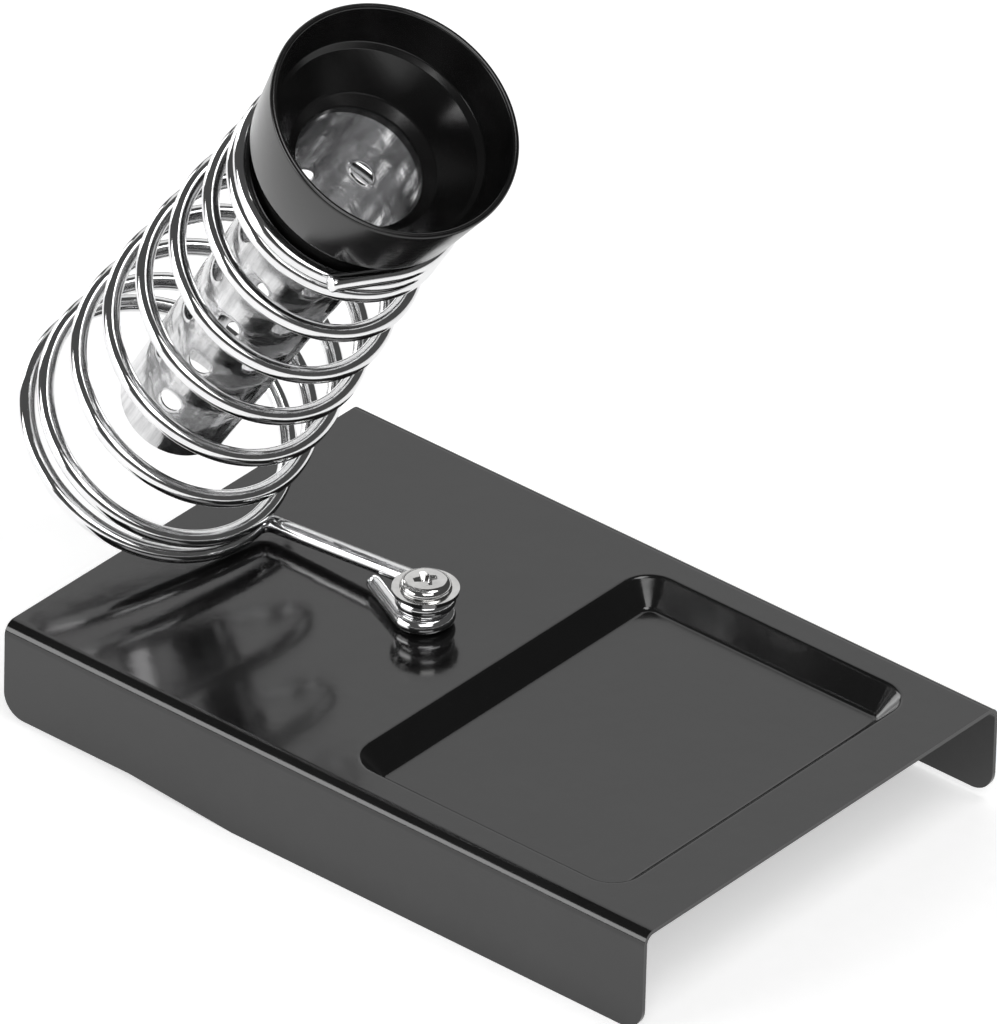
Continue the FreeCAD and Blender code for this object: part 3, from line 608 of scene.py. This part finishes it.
def make_tube():
    """A rolled sheet: flat pattern with punched holes, wrapped and lapped at its seam."""
    length = TUBE_END_DEPTH - TUBE_SEAT_DEPTH
    mean = (TUBE_TOP_RADIUS + TUBE_END_RADIUS) / 2.0
    to_arc = math.radians(1.0) * mean
    width = (360.0 + TUBE_LAP_DEGREES) * to_arc
    holes = [(bearing * to_arc, height) for bearing, height in hole_places()]
    flat, triangles = punched_sheet(width, length, holes)
    verts, uvs = [], []
    for x, z in flat:
        bearing = x / to_arc
        radius = TUBE_END_RADIUS + (TUBE_TOP_RADIUS - TUBE_END_RADIUS) * z / length
        inside_funnel = smooth_step(z, length - 15.0, length - 12.5)
        lapped = smooth_step(bearing, 360.0 - 4.0, 360.0 + 1.0)
        lift = TUBE_LAP_LIFT * lapped * (1.0 - inside_funnel)
        nearest = min(math.hypot(x - hx, z - hz) for hx, hz in holes) - TUBE_HOLE_RADIUS
        dish = HOLE_DISH * math.exp(-max(nearest, 0.0) / HOLE_DISH_REACH)
        radius += lift - dish
        angle = math.radians(bearing + TUBE_SEAM_ANGLE)
        verts.append((radius * math.cos(angle), radius * math.sin(angle), z))
        uvs.append((bearing / 360.0, z * MM))
    place = holder_frame(RIM_HEIGHT - TUBE_END_DEPTH)
    tube = new_piece("perforated_tube", verts, triangles, "holder",
                     TINPLATE, place, uvs)
    thicken(tube, TUBE_WALL * 0.9)
    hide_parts("inner_tube")


def thicken(obj, wall):
    """Gives a sheet its thickness, inwards from the surface drawn."""
    mesh = obj.data
    work = bmesh.new()
    work.from_mesh(mesh)
    outward = 0.0
    axis = holder_frame(0.0)
    foot = axis.translation * MM
    direction = (axis.to_3x3() @ Vector((0.0, 0.0, 1.0))).normalized()
    for face in work.faces:
        spoke = face.calc_center_median() - foot
        spoke -= direction * spoke.dot(direction)
        outward += face.normal.dot(spoke) * face.calc_area()
    if outward < 0.0:
        bmesh.ops.reverse_faces(work, faces=work.faces)
    work.to_mesh(mesh)
    work.free()
    solid = obj.modifiers.new("wall", "SOLIDIFY")
    solid.thickness = wall * MM
    solid.offset = -1.0
    solid.use_even_offset = True
    depsgraph = bpy.context.evaluated_depsgraph_get()
    solid_mesh = bpy.data.meshes.new_from_object(obj.evaluated_get(depsgraph))
    obj.modifiers.remove(solid)
    obj.data = solid_mesh
    shade(solid_mesh, 40.0)


# ------------------------------------------------------------------ screw


def close_poles(mesh):
    """Welds the rings of a lathed piece that have shrunk to a point on its axis."""
    work = bmesh.new()
    work.from_mesh(mesh)
    bmesh.ops.remove_doubles(work, verts=work.verts, dist=1e-6)
    bmesh.ops.dissolve_degenerate(work, edges=work.edges, dist=1e-7)
    work.to_mesh(mesh)
    work.free()


def make_screw_head(place):
    """Pan head with a tapered cross recess."""
    head = [(0.0, 0.0), (HEAD_RADIUS - 0.12, 0.0), (HEAD_RADIUS, 0.1), (HEAD_RADIUS, HEAD_BAND)]
    reach = HEAD_RADIUS - HEAD_BEVEL - HEAD_FLAT_RADIUS
    for step in range(1, HEAD_STEPS + 1):
        turn = math.radians(90.0 * step / HEAD_STEPS)
        head.append((HEAD_FLAT_RADIUS + reach * math.cos(turn),
                     HEAD_BAND + (HEAD_HEIGHT - 0.34) * math.sin(turn)))
    head += [(HEAD_FLAT_RADIUS * 0.5, HEAD_HEIGHT - 0.015), (0.0, HEAD_HEIGHT)]
    verts, faces, _ = lathe(head, HEAD_SIDES, closed=False)
    screw = new_piece("screw_head", verts, faces, "base", NICKEL, place)
    close_poles(screw.data)
    cut_cross(screw, place)
    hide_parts("clamp_screw")


def make_screw_thread(place):
    """Shank, plain at its top, then threaded, with a tapered tip."""
    rings = int(SCREW_LENGTH / THREAD_PITCH) * THREAD_STEPS_PER_PITCH
    verts, faces = [], []
    for ring in range(rings + 1):
        height = -SCREW_LENGTH * ring / rings
        threaded = smooth_step(-height, THREAD_START, THREAD_FULL)
        tip = smooth_step(-height, SCREW_LENGTH - TIP_LENGTH, SCREW_LENGTH)
        for step in range(THREAD_SIDES):
            phase = (height / THREAD_PITCH + step / THREAD_SIDES) % 1.0
            wave = abs(phase * 2.0 - 1.0)
            depth = (SHANK_RADIUS - THREAD_ROOT) * smooth_step(wave, 0.15, 0.85) * threaded
            radius = SHANK_RADIUS - depth - TIP_TAPER * tip * (1.0 - depth)
            angle = 2.0 * math.pi * step / THREAD_SIDES
            verts.append((radius * math.cos(angle), radius * math.sin(angle), height))
    for ring in range(rings):
        for step in range(THREAD_SIDES):
            after = (step + 1) % THREAD_SIDES
            low, high = ring * THREAD_SIDES, (ring + 1) * THREAD_SIDES
            faces.append((low + step, high + step, high + after, low + after))
    faces.append(tuple(range(THREAD_SIDES)))
    last = rings * THREAD_SIDES
    faces.append(tuple(last + step for step in range(THREAD_SIDES - 1, -1, -1)))
    new_piece("screw_thread", verts, faces, "base", NICKEL, place,
              smooth_angle=45.0)


def make_screw():
    """Head and shank on the clamp's axis, standing on the washer."""
    place = Matrix.Translation((SCREW_X, SCREW_Y, WASHER_TOP))
    make_screw_head(place)
    make_screw_thread(place)


def cross_outline(reach, half, inner):
    """Twelve-pointed outline of a cross, with its inner corners cut back."""
    quarter = [(reach, -half), (reach, half), (inner, inner)]
    points = []
    for turn in range(4):
        spin = Matrix.Rotation(math.radians(90.0 * turn), 2)
        points += [spin @ Vector(point) for point in quarter]
    return points


def cut_cross(screw, place):
    """Sinks the cross recess: one cross-shaped plug that narrows downwards."""
    turn = Matrix.Rotation(math.radians(CROSS_TURN), 4, "Z")
    sections = [(HEAD_HEIGHT + 0.5, 2.95, 0.72, 1.15), (HEAD_HEIGHT - 1.45, 1.15, 0.42, 0.5)]
    work = bmesh.new()
    rings = []
    for height, reach, half, inner in sections:
        rings.append([work.verts.new((place @ (turn @ Vector((p.x, p.y, height)))) * MM)
                      for p in cross_outline(reach, half, inner)])
    count = len(rings[0])
    for index in range(count):
        after = (index + 1) % count
        work.faces.new((rings[0][index], rings[0][after], rings[1][after], rings[1][index]))
    work.faces.new(rings[0])
    work.faces.new(rings[1][::-1])
    bmesh.ops.recalc_face_normals(work, faces=work.faces)
    mesh = bpy.data.meshes.new("cross_cutter")
    work.to_mesh(mesh)
    work.free()
    cutter = bpy.data.objects.new("cross_cutter", mesh)
    bpy.context.scene.collection.objects.link(cutter)
    cut = screw.modifiers.new("cross", "BOOLEAN")
    cut.operation = "DIFFERENCE"
    cut.solver = "EXACT"
    cut.object = cutter
    bevel = screw.modifiers.new("soft_edges", "BEVEL")
    bevel.width = 0.1 * MM
    bevel.segments = 2
    bevel.limit_method = "ANGLE"
    bevel.angle_limit = math.radians(40.0)
    depsgraph = bpy.context.evaluated_depsgraph_get()
    finished = bpy.data.meshes.new_from_object(screw.evaluated_get(depsgraph))
    screw.modifiers.clear()
    screw.data = finished
    bpy.data.objects.remove(cutter)
    shade(finished, 35.0)


# ------------------------------------------------------------------ carried-over CAD nodes


def dress_cad():
    """Gives the CAD nodes that are shown as they are their materials."""
    looks = {
        "base_plate": ENAMEL,
        "clamp_washer": NICKEL,
        "under_washer": ZINC,
        "lock_washer": ZINC,
        "clamp_nut": ZINC,
    }
    for node, material in looks.items():
        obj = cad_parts[node]
        for slot in obj.material_slots:
            slot.material = material


# ------------------------------------------------------------------ studio

LIGHTS_AIM = (0.0, 0.0, 0.04)
ROOM_TONE = 0.08
TABLE_GLOW = 0.5
CAMERA_ANGLES = (39.23, 32.94, 1.54)
CAMERA_SIDE, CAMERA_OVER, CAMERA_BACK = 0.13, 48.01, 4000.0
CAMERA_LENS, CAMERA_SENSOR = 730.715625, 36.0
FOOTPRINT_SHIFT = 14.6
FLOOR_REACH = 12.0


def make_stage():
    """A plain floor, so many metres each way."""
    reach = FLOOR_REACH
    corners = [(-reach, -reach, 0), (reach, -reach, 0), (reach, reach, 0), (-reach, reach, 0)]
    mesh = bpy.data.meshes.new("studio_floor")
    mesh.from_pydata(corners, [], [(0, 1, 2, 3)])
    floor = bpy.data.objects.new("studio_floor", mesh)
    bpy.context.scene.collection.objects.link(floor)
    mesh.materials.append(make_floor_material())


def add_light(name, direction, distance, size, power):
    """A soft box, so many metres from the object in that direction, and facing it."""
    data = bpy.data.lights.new(name, "AREA")
    data.shape = "RECTANGLE"
    data.size, data.size_y = size
    data.energy = power
    lamp = bpy.data.objects.new(name, data)
    outward = Vector(direction).normalized()
    lamp.location = Vector(LIGHTS_AIM) + outward * distance
    lamp.rotation_euler = (-outward).to_track_quat("-Z", "Y").to_euler()
    lamp.visible_camera = False
    bpy.context.scene.collection.objects.link(lamp)


def make_world():
    """A dim room, so that bright metal mirrors dark between the soft boxes."""
    bpy.context.scene.view_settings.view_transform = "Standard"
    world = bpy.data.worlds.new("studio")
    bpy.context.scene.world = world
    world.use_nodes = True
    background = world.node_tree.nodes["Background"]
    background.inputs["Color"].default_value = (ROOM_TONE, ROOM_TONE, ROOM_TONE, 1.0)


def make_lights():
    """Soft boxes: direction, distance and size in metres, and power in watts."""
    add_light("back_box", (-0.53, 0.65, 0.544), 1.3, (1.15, 0.95), 2.9)
    add_light("front_left_box", (-0.55, -0.82, 0.3), 1.2, (1.0, 0.55), 7.5)
    add_light("front_right_box", (0.62, -0.47, 0.7), 1.4, (0.95, 0.6), 6.2)
    add_light("left_box", (-0.93, 0.1, 0.3), 1.2, (0.5, 0.6), 3.0)
    add_light("top_box", (0.35, 0.1, 0.93), 1.2, (0.5, 0.5), 3.5)


def make_camera():
    """A long lens far back, at the angles CAMERA_ANGLES: azimuth, elevation and roll."""
    azimuth, elevation, roll = (math.radians(angle) for angle in CAMERA_ANGLES)
    back = Vector((math.sin(azimuth) * math.cos(elevation),
                   -math.cos(azimuth) * math.cos(elevation), math.sin(elevation)))
    right = Vector((math.cos(azimuth), math.sin(azimuth), 0.0))
    up = back.cross(right)
    side = right * math.cos(roll) + up * math.sin(roll)
    over = up * math.cos(roll) - right * math.sin(roll)
    place = side * CAMERA_SIDE + over * CAMERA_OVER + back * CAMERA_BACK
    place = (place + Vector((FOOTPRINT_SHIFT, 0.0, 0.0))) * MM
    turn = Matrix((side, over, back)).transposed()
    data = bpy.data.cameras.new("photo_camera")
    data.sensor_width = CAMERA_SENSOR
    data.lens = CAMERA_LENS
    data.clip_start, data.clip_end = 0.1, 40.0
    camera = bpy.data.objects.new("photo_camera", data)
    camera.matrix_world = Matrix.Translation(place) @ turn.to_4x4()
    bpy.context.scene.collection.objects.link(camera)
    bpy.context.scene.camera = camera


make_holder_wire()
make_funnel()
make_tube()
make_screw()
dress_cad()
make_stage()
make_world()
make_lights()
make_camera()
